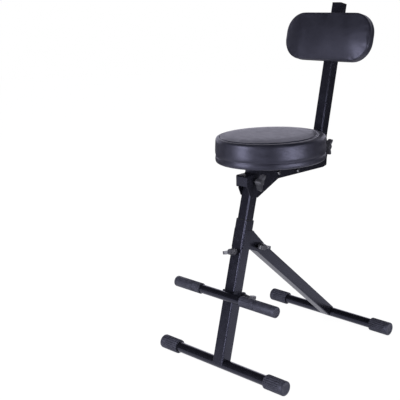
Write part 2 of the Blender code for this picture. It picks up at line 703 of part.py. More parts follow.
def seat_post(looks, stool):
    """The inner tube with its two support plates, the spacer between them and the bolt that locks the seat."""
    joint = pivot("post_joint", ORIGIN, stool)
    tilt = pivot("post_axis", ORIGIN, joint, -COLUMN_LEAN)
    tube = square_tube(
        "inner_tube", INNER_HALF, INNER_WALL, INNER_CORNER_RADIUS, INNER_TOP - INNER_LENGTH, INNER_TOP,
        looks["satin"], tilt)
    cross_drill(tube, [(-SEAT_LOCK_AHEAD, INNER_TOP - SEAT_LOCK_BELOW)], INNER_HALF, tilt)
    front = SEAT_PIVOT.x - CHANNEL_FRONT_AHEAD + CHANNEL_THICKNESS + SUPPORT_FRONT_SETBACK
    chin = SEAT_PIVOT.y - SUPPORT_CHIN_DROP
    top = SEAT_PIVOT.y + SUPPORT_FRONT_RISE
    bottom = INNER_TOP - SUPPORT_GRIP
    foot = [on_column(-INNER_HALF, bottom), on_column(INNER_HALF, bottom)]
    nose = arc(SEAT_PIVOT, SUPPORT_NOSE_RADIUS, SUPPORT_NOSE_START, math.pi / 2, 10)
    steps = 3
    corners = [Vector((front, top)), Vector((front, chin)), *foot, nose[0]]
    outline = rounded(corners, SUPPORT_CORNER_RADIUS, steps)[:-steps - 1]
    for side, word in ((1, "left"), (-1, "right")):
        low, high = sorted((side * SUPPORT_INNER_X, side * SUPPORT_OUTER_X))
        plate = prism(f"support_plate_{word}", outline + nose, low, high, looks["satin"], joint)
        cross_drill(plate, [SEAT_PIVOT, SEAT_LOCK], SUPPORT_OUTER_X, joint)
    end = SUPPORT_INNER_X - GAP
    collar("seat_spacer", SPACER_RADIUS, BOLT_HOLE, -end, end, looks["zinc"], joint, centre=(0, *SEAT_PIVOT))
    bolt("seat_lock_bolt", CHANNEL_OUTER_X, looks["zinc"], joint, SEAT_LOCK, -1, KNOB_STANDOFF + KNOB_BOLT_REACH)
    side_knob("seat_knob", looks, joint, CHANNEL_OUTER_X + KNOB_STANDOFF, SEAT_LOCK, SEAT_KNOB_TURN)


def channel_side():
    """The side plate's outline: skirt, tail round the backrest's pivot, shoulder and roof line."""
    tail = [
        (BACK_PIVOT_BEHIND + TAIL_REACH * reach_share, BACK_PIVOT_ABOVE + TAIL_RISE * rise_share)
        for reach_share, rise_share in TAIL_SHARES
    ]
    step = CHANNEL_STEP_LENGTH - CHANNEL_FRONT_AHEAD
    corners = [
        (step, CHANNEL_TOP),
        (step, CHANNEL_STEP_RISE),
        (-CHANNEL_FRONT_AHEAD, CHANNEL_STEP_RISE),
        (-CHANNEL_FRONT_AHEAD, -CHANNEL_CHIN_DROP),
        (0, -CHANNEL_SKIRT_DROP),
        *tail,
        (BACK_PIVOT_BEHIND - TAIL_SHOULDER_AHEAD, CHANNEL_TOP),
    ]
    return rounded(corners, CHANNEL_CORNER_RADIUS, 3)


def seat_channel(looks, joint):
    """The pressed channel under the seat, open below and stepped down in front, with slots for both lock bolts."""
    front = -CHANNEL_FRONT_AHEAD
    step = front + CHANNEL_STEP_LENGTH
    rear = CHANNEL_ROOF_BEHIND
    web_x = CHANNEL_INNER_X + CHANNEL_THICKNESS / 2
    rim = CHANNEL_CORNER_RADIUS
    upper = [(rear, CHANNEL_TOP), (step + rim, CHANNEL_TOP), (step, CHANNEL_TOP - rim), (step, CHANNEL_STEP_RISE)]
    nose = [(front + rim, CHANNEL_STEP_RISE), (front, CHANNEL_STEP_RISE - rim), (front, rim - CHANNEL_CHIN_DROP)]
    inner_front, inner_step = front + CHANNEL_THICKNESS, step + CHANNEL_THICKNESS
    inner_low, inner_top = CHANNEL_STEP_RISE - CHANNEL_THICKNESS, CHANNEL_TOP - CHANNEL_THICKNESS
    back = [(inner_front, rim - CHANNEL_CHIN_DROP), (inner_front, inner_low), (inner_step, inner_low)]
    elbow = upper + nose + back + [(inner_step, inner_top), (rear, inner_top)]
    channel = prism("seat_channel", elbow, -web_x, web_x, looks["satin"], joint)
    side = channel_side()
    weld(channel, [(side, *sorted((s * CHANNEL_INNER_X, s * CHANNEL_OUTER_X))) for s in (1, -1)], joint)
    pins = [place - SEAT_PIVOT for place in (SEAT_PIVOT, TIE_BOLT, BACK_PIVOT)]
    cross_drill(channel, pins, CHANNEL_OUTER_X, joint)
    reach = CHANNEL_OUTER_X + OVERRUN
    lock = SEAT_LOCK - SEAT_PIVOT
    start = math.atan2(lock.y, lock.x) % (2 * math.pi)
    past = math.pi + math.asin((CHANNEL_CHIN_DROP + OVERRUN) / lock.length)
    seat_slot = arc_slot(ORIGIN, lock.length, start, past, BOLT_HOLE)
    combine(channel, prism("seat_slot", seat_slot, -reach, reach, None, joint), "DIFFERENCE")
    back_slot = arc_slot(BACK_PIVOT - SEAT_PIVOT, BACK_LOCK_UP, BACK_TURN, BACK_TURN - BACK_SLOT_TURN, BOLT_HOLE)
    combine(channel, prism("backrest_slot", back_slot, -reach, reach, None, joint), "DIFFERENCE")
    for x, y in seat_screw_places():
        low, high = inner_top - GAP, CHANNEL_TOP + GAP
        drill(channel, (x, y, 0), SEAT_SCREW_RADIUS + GAP, low, high, joint, "z", SCREW_STEPS)


def seat_screw_places():
    """Where the four screws go up into the seat's board, from the seat's pivot."""
    return [
        (x_side * SEAT_SCREW_SIDE, -SEAT_CENTRE_AHEAD + y_side * SEAT_SCREW_SPAN / 2)
        for y_side in (-1, 1)
        for x_side in (1, -1)
    ]


def seat_ring(inset, height):
    """A ring of the oval seat, drawn in by an inset."""
    flat = round_ring(1, height, "z", (0, 0, 0), SEAT_STEPS)
    width, depth = SEAT_HALF_WIDTH - inset, SEAT_HALF_DEPTH - inset
    return [Vector((p.x * width, p.y * depth - SEAT_CENTRE_AHEAD, height)) for p in flat]


def seat(looks, joint):
    """The seat on its channel: a board with screws up into it, and the cushion that wraps it."""
    bottom = SEAT_BOTTOM_ABOVE
    board_top = bottom + SEAT_BOARD_THICKNESS
    board_rings = [seat_ring(SEAT_BOARD_INSET, bottom), seat_ring(SEAT_BOARD_INSET, board_top)]
    board = skin("seat_board", board_rings, looks["wood"], joint)
    underside = CHANNEL_TOP - CHANNEL_THICKNESS - GAP
    length = SEAT_SCREW_BITE + bottom - underside
    for number, (x, y) in enumerate(seat_screw_places(), 1):
        drill(
            board, (x, y, 0), SEAT_SCREW_RADIUS + GAP, bottom - OVERRUN, underside + length + GAP, joint, "z",
            SCREW_STEPS)
        screw(
            f"seat_screw_{number}", length, SEAT_SCREW_RADIUS, SEAT_SCREW_HEAD_RADIUS, SEAT_SCREW_HEAD_HEIGHT,
            looks["zinc"], joint, "z", (x, y, underside), 1)
    skin("seat_cushion", cushion_rings(bottom, board_top + GAP), looks["vinyl"], joint)


def cushion_rings(bottom, recess):
    """The cushion's rings, from the recess over the board, round its side, over its seam and its crown."""
    rim = bottom + SEAT_THICKNESS
    bore = SEAT_BOARD_INSET - GAP
    edge = rim - SEAT_EDGE_RADIUS
    crease = bottom + SEAT_CREASE_RISE
    seam = SEAT_EDGE_RADIUS + SEAT_SEAM_WIDTH
    profile = [
        (bore, recess),
        (bore, bottom),
        (SEAT_TAPER + SEAT_ROLL, bottom),
        (SEAT_TAPER, bottom + SEAT_ROLL),
        (SEAT_TAPER, crease - SEAT_ROLL),
        (SEAT_TAPER + SEAT_CREASE_DEPTH, crease),
        (SEAT_TAPER, crease + SEAT_ROLL),
        (SEAT_DRAWN_IN, (edge + crease) / 2),
    ]
    profile += [(SEAT_EDGE_RADIUS * inward, rim - SEAT_EDGE_RADIUS * drop) for inward, drop in SEAT_EDGE_SHARES]
    profile += [(seam, rim - SEAT_SEAM_DEPTH), (seam + SEAT_SEAM_WIDTH, rim)]
    rings = [seat_ring(inset, height) for inset, height in profile]
    panel = rings[-1]
    middle = Vector((0, -SEAT_CENTRE_AHEAD, rim))
    for share in SEAT_CROWN_RING_SHARES:
        lift = Vector((0, 0, SEAT_CROWN * (1 - share ** SEAT_CROWN_FLATNESS)))
        rings.append([middle.lerp(p, share) + lift for p in panel])
    return [[Vector((0, -SEAT_CENTRE_AHEAD, recess))], *rings, [middle + Vector((0, 0, SEAT_CROWN))]]


def seat_fasteners(looks, joint):
    """The seat's pivot bolt, the tie bolt and the backrest's pivot bolt with its two washers."""
    bolts = (
        ("seat_pivot", SEAT_PIVOT, CHANNEL_OUTER_X),
        ("channel_tie", TIE_BOLT, CHANNEL_OUTER_X),
        ("backrest_pivot", BACK_PIVOT, CHANNEL_OUTER_X + WASHER_THICKNESS + GAP),
    )
    for name, place, reach in bolts:
        bolt(name + "_bolt", reach, looks["zinc"], joint, place - SEAT_PIVOT)
        nut(name + "_nut", reach + GAP, looks["zinc"], joint, place - SEAT_PIVOT, -1)
    near = CHANNEL_OUTER_X + GAP
    far = near + WASHER_THICKNESS
    place = (0, *(BACK_PIVOT - SEAT_PIVOT))
    for side, word in ((1, "left"), (-1, "right")):
        low, high = sorted((side * near, side * far))
        collar(f"backrest_washer_{word}", WASHER_RADIUS, BOLT_HOLE, low, high, looks["zinc"], joint, centre=place)


def backrest_post(looks, joint, axis):
    """The backrest's post with its slanted plug, the spacers at its pivot and the bolt that locks it."""
    post = square_tube(
        "backrest_post", BACK_POST_HALF, BACK_POST_WALL, BACK_POST_CORNER_RADIUS, -BACK_POST_BELOW, BACK_POST_ABOVE,
        looks["satin"], axis)
    cross_drill(post, [(0, 0), (0, BACK_LOCK_UP)], BACK_POST_HALF, axis)
    drill_pad_screws(post, -BACK_POST_HALF - OVERRUN, BACK_POST_HALF + OVERRUN, axis)
    stub = (BACK_POST_HALF - BACK_POST_WALL - GAP, BACK_POST_CORNER_RADIUS - BACK_POST_WALL)
    cap = (BACK_POST_HALF, BACK_POST_CORNER_RADIUS)
    seat_level = BACK_POST_ABOVE + GAP
    profile = [(*stub, seat_level - PLUG_DEPTH), (*stub, seat_level)]
    profile += [(*cap, seat_level), (*cap, seat_level + PLUG_THICKNESS)]
    plug = square_stack("post_plug", profile, looks["plastic"], axis)
    for vertex in plug.data.vertices:
        if vertex.co.z > seat_level + GAP:
            vertex.co.z += PLUG_SLANT * vertex.co.y / BACK_POST_HALF
    near, far = BACK_POST_HALF + GAP, CHANNEL_INNER_X - GAP
    for side, word in ((1, "left"), (-1, "right")):
        low, high = sorted((side * near, side * far))
        collar(f"backrest_spacer_{word}", WASHER_RADIUS, BOLT_HOLE, low, high, looks["plastic"], joint)
    lock = BACK_LOCK - BACK_PIVOT
    bolt("backrest_lock_bolt", CHANNEL_OUTER_X, looks["zinc"], joint, lock, -1, KNOB_STANDOFF + KNOB_BOLT_REACH)
    side_knob("backrest_knob", looks, joint, CHANNEL_OUTER_X + KNOB_STANDOFF, lock, BACK_KNOB_TURN)


def pad_screw_heights():
    return {"lower": PAD_CENTRE_UP - PAD_SCREW_PITCH / 2, "upper": PAD_CENTRE_UP + PAD_SCREW_PITCH / 2}


def drill_pad_screws(target, low, high, axis):
    for height in pad_screw_heights().values():
        drill(target, (0, 0, height), PAD_SCREW_RADIUS + GAP, low, high, axis, "y", SCREW_STEPS)


def pad_ring(inset, depth):
    """The pad's outline drawn in by an inset, at a depth in front of its back plane."""
    half_width, half_height = PAD_WIDTH / 2 - inset, PAD_HEIGHT / 2 - inset
    outline = rounded(rectangle(-half_width, half_width, -half_height, half_height), PAD_CORNER_RADIUS - inset, 8)
    return [(p.x, PAD_BACK - depth, PAD_CENTRE_UP + p.y) for p in outline]


def pad_crown_ring(inward_share):
    """A ring on the pad's face, its outline drawn in by a share of the half height, and its place on the crown."""
    inset = PAD_EDGE_RADIUS + inward_share * (PAD_HEIGHT / 2 - PAD_EDGE_RADIUS)
    depth = PAD_THICKNESS + PAD_CROWN * (1 - (1 - inward_share) ** 2)
    limit = PAD_CORNER_RADIUS * PAD_INSET_LIMIT_SHARE
    outside = pad_ring(min(inset, limit), depth)
    if inset < limit:
        return outside
    shrink = (PAD_HEIGHT / 2 - inset) / (PAD_HEIGHT / 2 - limit)
    centre = Vector((0, PAD_BACK - depth, PAD_CENTRE_UP))
    return [centre.lerp(p, shrink) for p in outside]


def back_pad(looks, axis):
    """The padded back on its board, held to the post by two screws."""
    recess = PAD_BOARD_THICKNESS + GAP
    inset = PAD_BOARD_INSET
    board = skin("back_board", [pad_ring(inset, 0), pad_ring(inset, PAD_BOARD_THICKNESS)], looks["wood"], axis)
    drill_pad_screws(board, PAD_BACK - PAD_SCREW_BITE - GAP, OVERRUN, axis)
    head = BACK_POST_HALF + GAP
    length = head - PAD_BACK + PAD_SCREW_BITE
    for word, height in pad_screw_heights().items():
        screw(
            f"pad_screw_{word}", length, PAD_SCREW_RADIUS, PAD_SCREW_HEAD_RADIUS, PAD_SCREW_HEAD_HEIGHT,
            looks["zinc"], axis, "y", (0, head, height), -1)
    seam = PAD_THICKNESS - PAD_SEAM_SETBACK
    rings = [
        [(0, PAD_BACK - recess, PAD_CENTRE_UP)],
        pad_ring(inset - GAP, recess),
        pad_ring(inset - GAP, 0),
        pad_ring(PAD_ROLL, 0),
        pad_ring(0, PAD_ROLL),
        pad_ring(PAD_DRAWN_IN, (PAD_ROLL + seam) / 2),
        pad_ring(PAD_SEAM_DEPTH, seam - PAD_SEAM_WIDTH),
        pad_ring(0, seam),
        pad_ring(PAD_SEAM_DEPTH, seam + PAD_SEAM_WIDTH),
        pad_ring(PAD_SEAM_DEPTH, PAD_THICKNESS - PAD_EDGE_RADIUS),
        pad_crown_ring(0),
        *[pad_crown_ring(share) for share in PAD_CROWN_RING_SHARES],
        [(0, PAD_BACK - PAD_THICKNESS - PAD_CROWN, PAD_CENTRE_UP)],
    ]
    skin("back_pad", rings, looks["vinyl"], axis)


def build():
    clear_scene()
    looks = make_materials()
    stool = pivot("stool", ORIGIN)
    tilt = pivot("column_axis", ORIGIN, stool, -COLUMN_LEAN)
    foot_bar("front", looks, stool)
    column(looks, tilt)
    height_clamp(looks, tilt)
    ear_face = leg_bracket(looks, tilt)
    leg_fasteners(looks, stool, ear_face)
    rear_leg(looks, stool)
    footrest(looks, pivot("footrest_axis", ORIGIN, stool, -COLUMN_LEAN))
    seat_post(looks, stool)
    seat_joint = pivot("seat_joint", SEAT_PIVOT, stool)
    seat_channel(looks, seat_joint)
    seat(looks, seat_joint)
    seat_fasteners(looks, seat_joint)
    back_joint = pivot("backrest_joint", BACK_PIVOT, seat_joint)
    back_axis = pivot("backrest_axis", BACK_PIVOT, back_joint, -BACK_LEAN)
    backrest_post(looks, back_joint, back_axis)
    back_pad(looks, back_axis)


build()
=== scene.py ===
"""Looks for the folding performer's stool: padded seat and back, coated steel, rubber and moulded wing knobs.

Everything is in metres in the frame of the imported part. The sitter faces -Y and the floor is z = 0.
"""

import math

import bmesh
import bpy
import numpy as np
from mathutils import Matrix, Vector, noise


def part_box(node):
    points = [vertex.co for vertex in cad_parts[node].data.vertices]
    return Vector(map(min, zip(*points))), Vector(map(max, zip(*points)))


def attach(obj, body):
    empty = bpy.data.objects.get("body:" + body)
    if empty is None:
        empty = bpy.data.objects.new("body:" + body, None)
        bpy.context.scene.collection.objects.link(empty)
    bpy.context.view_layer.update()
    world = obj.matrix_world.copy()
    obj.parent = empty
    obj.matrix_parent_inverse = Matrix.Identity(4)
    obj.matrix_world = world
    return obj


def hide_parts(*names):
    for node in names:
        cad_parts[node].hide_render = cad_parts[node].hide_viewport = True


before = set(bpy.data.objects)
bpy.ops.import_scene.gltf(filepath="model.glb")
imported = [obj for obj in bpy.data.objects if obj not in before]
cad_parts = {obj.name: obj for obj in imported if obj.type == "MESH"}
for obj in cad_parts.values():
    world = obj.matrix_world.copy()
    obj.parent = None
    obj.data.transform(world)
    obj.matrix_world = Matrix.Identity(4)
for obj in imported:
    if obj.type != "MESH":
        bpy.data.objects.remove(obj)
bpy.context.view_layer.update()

# Camera
CAMERA_PLACE = (1.4683, -1.80351, 1.0520)
CAMERA_AZIMUTH = math.radians(42.2635)
CAMERA_ELEVATION = math.radians(14.3903)
CAMERA_ROLL = math.radians(-0.7367)
CAMERA_LENS = 71.556
CAMERA_SHIFT = -0.1

# Seat cover, from the underside of the cushion and its oval outline
SEAT_STEPS = 168
SEAT_BOARD_INSET = 0.0116
SEAT_RECESS = 0.0124
SEAT_PROFILE = (
    (0.0116, 0.0000), (0.0092, 0.0000), (0.0064, 0.0001), (0.0036, 0.0010), (0.0017, 0.0032), (0.0010, 0.0062),
    (0.0009, 0.0096), (0.0010, 0.0130), (0.0014, 0.0160), (0.0022, 0.0182), (0.0026, 0.0194), (0.0023, 0.0206),
    (0.0015, 0.0232), (0.0010, 0.0266), (0.0008, 0.0310), (0.0009, 0.0360), (0.0011, 0.0410), (0.0013, 0.0460),
    (0.0015, 0.0510), (0.0016, 0.0560), (0.0018, 0.0605), (0.0022, 0.0640), (0.0031, 0.0669), (0.0048, 0.0690),
    (0.0074, 0.0703), (0.0108, 0.0711), (0.0148, 0.0716), (0.0182, 0.0714), (0.0196, 0.0702), (0.0202, 0.0692),
    (0.0208, 0.0706), (0.0215, 0.0726), (0.0232, 0.0735), (0.0280, 0.0738),
)
SEAT_PINNED = (0, 1, 2, 9, 10, 11, 27, 28, 29, 30, 31)
SEAT_PANEL_SHARES = (0.965, 0.92, 0.86, 0.78, 0.69, 0.59, 0.48, 0.36, 0.24, 0.12)
SEAT_PANEL_RISE = 0.0024
SEAT_SWELL_CAP = 0.0012
SEAT_WRINKLE = 0.00075
SEAT_PANEL_SHIFT = (-0.0050, -0.0042)
SEAT_SEAM_INSET = 0.0202
SEAT_DRIFT_INSET = 0.0030
SEAT_DRIFT_HEIGHT = 0.0500

# Ripples on the seat's side: their band above the underside, how far out they start, and their pattern
WRINKLE_FROM = 0.0210
WRINKLE_BAND = 0.0450
WRINKLE_OUTSIDE = 0.1200
WRINKLE_FADE = 0.7
WRINKLE_ROUND = 3.2
WRINKLE_UPWARD = 62
WRINKLE_CLIMB = 0.9
WRINKLE_FINER = 2.1
WRINKLE_FINER_SHARE = 0.5
WRINKLE_SIDE_MEAN = 0.55
WRINKLE_SIDE_SPREAD = 0.45
WRINKLE_SIDE_TURN = 0.35

# Pad cover, from the back plane of the pad and its rounded outline
PAD_STEPS_CORNER = 14
PAD_STEPS_SIDE = 14
PAD_STEPS_END = 3
PAD_CORNER = 0.0630
PAD_LEAST_CORNER = 0.0040
PAD_SPINE_REACH = 0.0850
PAD_LEAN = math.radians(13.3)
PAD_PROFILE = (
    (0.0087, 0.0000), (0.0064, 0.0000), (0.0038, 0.0002), (0.0016, 0.0014), (0.0004, 0.0034), (0.0002, 0.0062),
    (0.0006, 0.0095), (0.0010, 0.0130), (0.0010, 0.0165), (0.0008, 0.0198), (0.0005, 0.0222), (0.0008, 0.0234),
    (0.0014, 0.0241), (0.0010, 0.0250), (0.0012, 0.0264), (0.0021, 0.0277), (0.0037, 0.0287), (0.0062, 0.0294),
    (0.0098, 0.0300), (0.0145, 0.0304),
)
PAD_PINNED = (0, 1, 2, 11, 12, 13)
PAD_INWARD_SHARES = (0.10, 0.20, 0.31, 0.43, 0.56, 0.70, 0.85, 1.0)
PAD_RECESS = 0.0094
PAD_BOARD_INSET = 0.0087
PAD_RISE = 0.0055
PAD_SWEEP = 0.0045
PAD_SWELL_CAP = 0.0010
PAD_SPINE_WELD = 0.000001

# Cloth of both covers
SWELL_FRAMES = 20
SWELL_QUALITY = 6
SWELL_MASS = 0.35
SWELL_STRETCH = 25
SWELL_SHEAR = 8
SWELL_BENDING = 1.2
SWELL_PRESSURE = 4.0

# Rubber caps and grips
RIB_POINTS = 8
CAP_RADIUS = 0.0208
CAP_BORE = 0.0153
CAP_RIBS = 20
CAP_RIB_DEPTH = 0.0015
CAP_TAIL = 0.0040
SLEEVE_CREASE = math.radians(50)
RIB_STEEPNESS = 1.7
RIB_FLAT = 0.45

# Rows of a cap: from the mouth or from the closed end, step in from the radius, share of the rib's depth
CAP_MOUTH = ((0.0, 0.0026, 0), (0.0, 0.0012, 0.5), (0.0010, 0.0002, 1), (0.0022, 0, 1))
CAP_BODY = (
    (0.0190, 0, 1), (0.0160, 0, 0.7), (0.0135, 0, 0), (0.0034, 0, 0), (0.0014, 0.0006, 0), (0.0004, 0.0018, 0),
    (0, 0.0034, 0),
)
# Rows of the recess in the closed end: from the end, radius
CAP_RECESS = ((0, 0.0122), (0.0005, 0.0117), (0.0011, 0.0113), (0.0012, 0.0104), (0.0012, 0))
GRIP_RADIUS = 0.0159
GRIP_BORE = 0.0133
GRIP_RIBS = 18
GRIP_RIB_DEPTH = 0.0005
GRIP_TAIL = 0.0030
GRIP_GROOVE_FROM_END = 0.0740
GRIP_MOUTH = ((0.0, 0.0016, 0), (0.0004, 0.0006, 0), (0.0014, 0, 0), (0.0030, 0, 0), (0.0048, 0, 1))
# Rows beside the ring groove: past its middle, step in from the radius, share of the rib's depth
GRIP_GROOVE = (
    (-0.0040, 0, 1), (-0.0022, 0, 0), (-0.0010, 0.0001, 0), (-0.0007, 0.0009, 0), (0.0007, 0.0009, 0),
    (0.0010, 0.0001, 0), (0.0022, 0, 0),
)
GRIP_RIM = ((0.0030, 0, 0), (0.0012, 0.0004, 0), (0.0003, 0.0014, 0), (0, 0.0026, 0))
GRIP_RECESS = (
    (0, 0.0112), (0.0004, 0.0107), (0.0011, 0.0103), (0.0012, 0.0094), (0.0012, 0.0030), (0.0008, 0.0024),
    (0.0008, 0),
)

# Bevels
EDGE_FINE = 0.0002
EDGE_TUBE = 0.0003
EDGE_SHEET = 0.0004
EDGE_KNOB = 0.0010
EDGE_SEGMENTS = 2
EDGE_ANGLE = math.radians(34)
EDGE_WELD = 0.00001

# Colours of the looks, dark and light, with their lowest and highest roughness where that varies
SATIN = ((0.0042, 0.0042, 0.0062), (0.0064, 0.0064, 0.0094), 0.22, 0.29)
GLOSS = ((0.0040, 0.0040, 0.0060), (0.0060, 0.0060, 0.0085), 0.13, 0.19)
BRIGHT_ZINC = ((0.50, 0.50, 0.49), (0.72, 0.71, 0.68))
DARK_ZINC = ((0.10, 0.10, 0.11), (0.18, 0.18, 0.19))
DULL_PLASTIC = ((0.006, 0.006, 0.008), (0.010, 0.010, 0.012), 0.34, 0.42)
KNOB_PLASTIC = ((0.024, 0.024, 0.029), (0.040, 0.039, 0.046), 0.30, 0.38)
VINYL = ((0.0080, 0.0080, 0.0118), (0.0130, 0.0130, 0.0186))
RUBBER = ((0.014, 0.014, 0.020), (0.026, 0.026, 0.036))
STAIN = ((0.020, 0.016, 0.013), (0.045, 0.036, 0.029))
STAIN_SPREAD = (0.30, 0.72)
CLOUD_SPREAD = (0.35, 0.65)
ROUGH_SPREAD = (0.3, 0.7)

# Lamps: place, size and power
LAMP_AIM = (0, 0, 0.55)
LAMP_COLOUR = (0.93, 0.93, 1.0)
LAMPS = {
    "lamp_front": ((-0.30, -2.35, 0.78), (0.90, 1.40), 47.0),
    "lamp_near": ((1.30, -1.95, 0.14), (0.90, 0.24), 3.4),
    "lamp_left": ((2.40, 0.10, 0.33), (1.60, 0.62), 36.0),
    "lamp_top": ((-0.5, -0.7, 2.7), (1.8, 1.8), 30.0),
}
LAMP_NOT_IN_GLOSS = "lamp_top"

# World: plain light for matt surfaces, and a room for gloss that is bright low behind the stool
AMBIENT_COLOUR = (0.97, 0.98, 1, 1)
AMBIENT_STRENGTH = 0.55
ROOM_COLOUR = (0.87, 0.85, 1, 1)
ROOM_BEHIND = (0.35, 0.85, 0.05, 1.0)
ROOM_LOW = (0.30, 0.60, 1.5, 0.05)

# Floor, with the pools of painted light that only gloss sees, glowing painted reflections of a lit floor:
# middle, inner and outer reach
FLOOR_RADIUS = 9.0
FLOOR_STEPS = 96
PAPER_COLOUR = (0.82, 0.82, 0.82, 1)
SHOWN_WHITE = 1.05
SHOWN_SHARE = 0.92
# Painted light: the floor glows with these pools, and only reflections show them
PAINTED_LIGHT_COLOUR = (0.92, 0.92, 1, 1)
PAINTED_LIGHT_NEAR = 0.85
PAINTED_LIGHT_FAR = 0.06
PAINTED_LIGHT_POOLS = (((0, 0, 0), 0.9, 1.6), ((-0.9, -1.9, 0), 1.0, 1.7))


def socket(tree, kind, **values):
    """A shader node with its inputs set by name."""
    node = tree.nodes.new(kind)
    for name, value in values.items():
        node.inputs[name.replace("_", " ")].default_value = value
    return node


def base_material(name, roughness, metallic=0.0, tint=(1.0, 1.0, 1.0), **extra):
    """A Principled material whose even values sit on its own sockets."""
    made = bpy.data.materials.new(name)
    made.use_nodes = True
    shader = made.node_tree.nodes["Principled BSDF"]
    shader.inputs["Roughness"].default_value = roughness
    shader.inputs["Metallic"].default_value = metallic
    shader.inputs["Specular Tint"].default_value = (*tint, 1.0)
    for name_, value in extra.items():
        shader.inputs[name_.replace("_", " ")].default_value = value
    return made, made.node_tree, shader


def object_noise(tree, scale, detail=3.0, roughness=0.55):
    place = tree.nodes.new("ShaderNodeTexCoord")
    made = socket(tree, "ShaderNodeTexNoise", Scale=scale, Detail=detail, Roughness=roughness)
    tree.links.new(place.outputs["Object"], made.inputs["Vector"])
    return made


def drift_colour(tree, shader, noise_output, dark, light, spread):
    """Base colour that drifts between two near colours."""
    ramp = tree.nodes.new("ShaderNodeValToRGB")
    for stop, place, colour in zip(ramp.color_ramp.elements, spread, (dark, light)):
        stop.position = place
        stop.color = (*colour, 1.0)
    tree.links.new(noise_output, ramp.inputs["Fac"])
    tree.links.new(ramp.outputs["Color"], shader.inputs["Base Color"])


def mottle(tree, shader, dark, light, scale):
    drift_colour(tree, shader, object_noise(tree, scale).outputs["Fac"], dark, light, CLOUD_SPREAD)


def vary_roughness(tree, shader, scale, low, high):
    cloud = object_noise(tree, scale, detail=4.0)
    start, end = ROUGH_SPREAD
    reach = socket(tree, "ShaderNodeMapRange", From_Min=start, From_Max=end, To_Min=low, To_Max=high)
    tree.links.new(cloud.outputs["Fac"], reach.inputs["Value"])
    tree.links.new(reach.outputs["Result"], shader.inputs["Roughness"])


def grain(tree, shader, height, strength, distance):
    """Fine relief from a height output."""
    bump = socket(tree, "ShaderNodeBump", Strength=strength, Distance=distance)
    tree.links.new(height, bump.inputs["Height"])
    tree.links.new(bump.outputs["Normal"], shader.inputs["Normal"])


def powder_coat(name, dark, light, low, high):
    """Powder coating: even colour, a little cloudiness and a fine orange-peel relief."""
    made, tree, shader = base_material(name, low, tint=(0.70, 0.71, 1.0), Specular_IOR_Level=0.55)
    mottle(tree, shader, dark, light, scale=38.0)
    vary_roughness(tree, shader, 60.0, low, high)
    peel = object_noise(tree, 900.0, detail=2.0)
    grain(tree, shader, peel.outputs["Fac"], strength=0.22, distance=0.00012)
    return made


def vinyl():
    """Upholstery vinyl: pebbled grain of small cells with fine creases, and a soft sheen."""
    made, tree, shader = base_material(
        "cover_vinyl", 0.38, tint=(0.74, 0.74, 1.0), Specular_IOR_Level=0.58)
    mottle(tree, shader, *VINYL, scale=22.0)
    vary_roughness(tree, shader, 45.0, low=0.38, high=0.46)
    place = tree.nodes.new("ShaderNodeTexCoord")
    cells = socket(tree, "ShaderNodeTexVoronoi", Scale=620.0, Randomness=1.0)
    cells.feature = "SMOOTH_F1"
    tree.links.new(place.outputs["Object"], cells.inputs["Vector"])
    creases = object_noise(tree, 260.0, detail=4.0, roughness=0.6)
    both = tree.nodes.new("ShaderNodeMath")
    both.operation = "ADD"
    tree.links.new(cells.outputs["Distance"], both.inputs[0])
    tree.links.new(creases.outputs["Fac"], both.inputs[1])
    grain(tree, shader, both.outputs[0], strength=0.28, distance=0.00022)
    return made


def rubber():
    """Matt rubber with a dusty bloom and a moulded grain."""
    made, tree, shader = base_material("moulded_rubber", 0.5, tint=(0.76, 0.78, 1.0))
    mottle(tree, shader, *RUBBER, scale=90.0)
    vary_roughness(tree, shader, 140.0, low=0.44, high=0.58)
    pores = object_noise(tree, 1300.0)
    grain(tree, shader, pores.outputs["Fac"], strength=0.35, distance=0.00015)
    return made


def plastic(name, dark, light, low, high):
    """Moulded plastic with a light spark-eroded texture."""
    made, tree, shader = base_material(name, low, tint=(0.95, 0.96, 1.0))
    mottle(tree, shader, dark, light, scale=120.0)
    vary_roughness(tree, shader, 200.0, low, high)
    texture = object_noise(tree, 1700.0, detail=2.0)
    grain(tree, shader, texture.outputs["Fac"], strength=0.18, distance=0.0001)
    return made


def zinc(name, dark, light):
    """Zinc plating with faint spangle."""
    made, tree, shader = base_material(name, 0.25, metallic=1.0)
    mottle(tree, shader, dark, light, scale=420.0)
    vary_roughness(tree, shader, 300.0, low=0.20, high=0.36)
    spangle = object_noise(tree, 1100.0, detail=2.0)
    grain(tree, shader, spangle.outputs["Fac"], strength=0.12, distance=0.00008)
    return made


def plywood():
    """Black-stained plywood with its long grain."""
    made, tree, shader = base_material("board_plywood", 0.7)
    place = tree.nodes.new("ShaderNodeTexCoord")
    stretch = tree.nodes.new("ShaderNodeMapping")
    stretch.inputs["Scale"].default_value = (1.0, 0.08, 4.0)
    tree.links.new(place.outputs["Object"], stretch.inputs["Vector"])
    fibre = socket(tree, "ShaderNodeTexNoise", Scale=160.0, Detail=6.0, Distortion=0.6)
    tree.links.new(stretch.outputs["Vector"], fibre.inputs["Vector"])
    drift_colour(tree, shader, fibre.outputs["Fac"], *STAIN, STAIN_SPREAD)
    grain(tree, shader, fibre.outputs["Fac"], strength=0.3, distance=0.0002)
    return made


